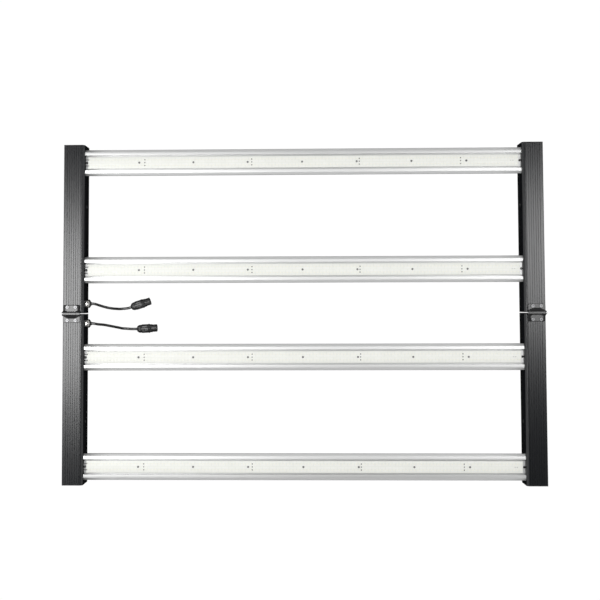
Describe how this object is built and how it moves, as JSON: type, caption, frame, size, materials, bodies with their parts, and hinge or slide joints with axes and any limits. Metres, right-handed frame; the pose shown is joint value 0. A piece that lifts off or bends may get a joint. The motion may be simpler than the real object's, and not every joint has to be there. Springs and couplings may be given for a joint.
{
  "type": "led grow light",
  "caption": "Folding LED grow light: finned light bars with white boards between black hinged rails, with a short plug-ended cable from each half.",
  "frame": {"origin": "on the surface under the middle of the light, on the fold line", "axes": "+X along the bars to the right rail, +Y along the rails to the rear half, +Z out of the light side"},
  "size_m": [1.113, 0.787, 0.0603],
  "materials": {
    "black_anodised": "black anodised, satin",
    "silver_aluminium": "satin silver",
    "white_board": "white solder mask, matt",
    "phosphor": "yellow phosphor, matt",
    "zinc_steel": "zinc plated",
    "black_steel": "black, semi-matt",
    "nickel_brass": "nickel plated",
    "black_nylon": "moulded, fine grain",
    "black_rubber": "matt",
    "pale_plastic": "moulded",
    "contact_brass": "bright"
  },
  "bodies": {
    "front_half": {"front_left_rail": "black_anodised", "front_right_rail": "black_anodised", "front_end_caps": "black_nylon", "front_outer_bar": "silver_aluminium", "front_inner_bar": "silver_aluminium", "front_outer_board": "white_board", "front_inner_board": "white_board", "front_led_chips": "phosphor", "front_board_screws": "zinc_steel", "front_bar_brackets": "zinc_steel", "front_bracket_rivets": "silver_aluminium", "front_bar_screws": "black_steel", "front_hanging_inserts": "black_steel", "front_wiring_loom": "black_rubber", "front_lead_grommets": "black_rubber", "front_splice_block": "pale_plastic", "front_gland_body": "nickel_brass", "front_gland_nut": "nickel_brass", "front_gland_seal": "black_rubber", "front_gland_locknut": "nickel_brass", "front_cord": "black_rubber", "front_plug_tail_nut": "black_nylon", "front_plug_body": "black_nylon", "front_plug_insert": "black_nylon", "front_plug_pins": "contact_brass", "front_left_hinge_leaf": "black_steel", "front_right_hinge_leaf": "black_steel", "front_hinge_screws": "black_steel", "left_hinge_pin": "zinc_steel", "right_hinge_pin": "zinc_steel"},
    "rear_half": {"rear_left_rail": "black_anodised", "rear_right_rail": "black_anodised", "rear_end_caps": "black_nylon", "rear_outer_bar": "silver_aluminium", "rear_inner_bar": "silver_aluminium", "rear_outer_board": "white_board", "rear_inner_board": "white_board", "rear_led_chips": "phosphor", "rear_board_screws": "zinc_steel", "rear_bar_brackets": "zinc_steel", "rear_bracket_rivets": "silver_aluminium", "rear_bar_screws": "black_steel", "rear_hanging_inserts": "black_steel", "rear_wiring_loom": "black_rubber", "rear_lead_grommets": "black_rubber", "rear_splice_block": "pale_plastic", "rear_gland_body": "nickel_brass", "rear_gland_nut": "nickel_brass", "rear_gland_seal": "black_rubber", "rear_gland_locknut": "nickel_brass", "rear_cord": "black_rubber", "rear_plug_tail_nut": "black_nylon", "rear_plug_body": "black_nylon", "rear_plug_insert": "black_nylon", "rear_plug_pins": "contact_brass", "rear_left_hinge_leaf": "black_steel", "rear_right_hinge_leaf": "black_steel", "rear_hinge_screws": "black_steel"}
  },
  "joints": [
    {"name": "fold", "type": "hinge", "parent": "front_half", "child": "rear_half", "pos_m": [0, 0, 0.0553], "axis": [1, 0, 0], "range_deg": [0, 180]}
  ]
}
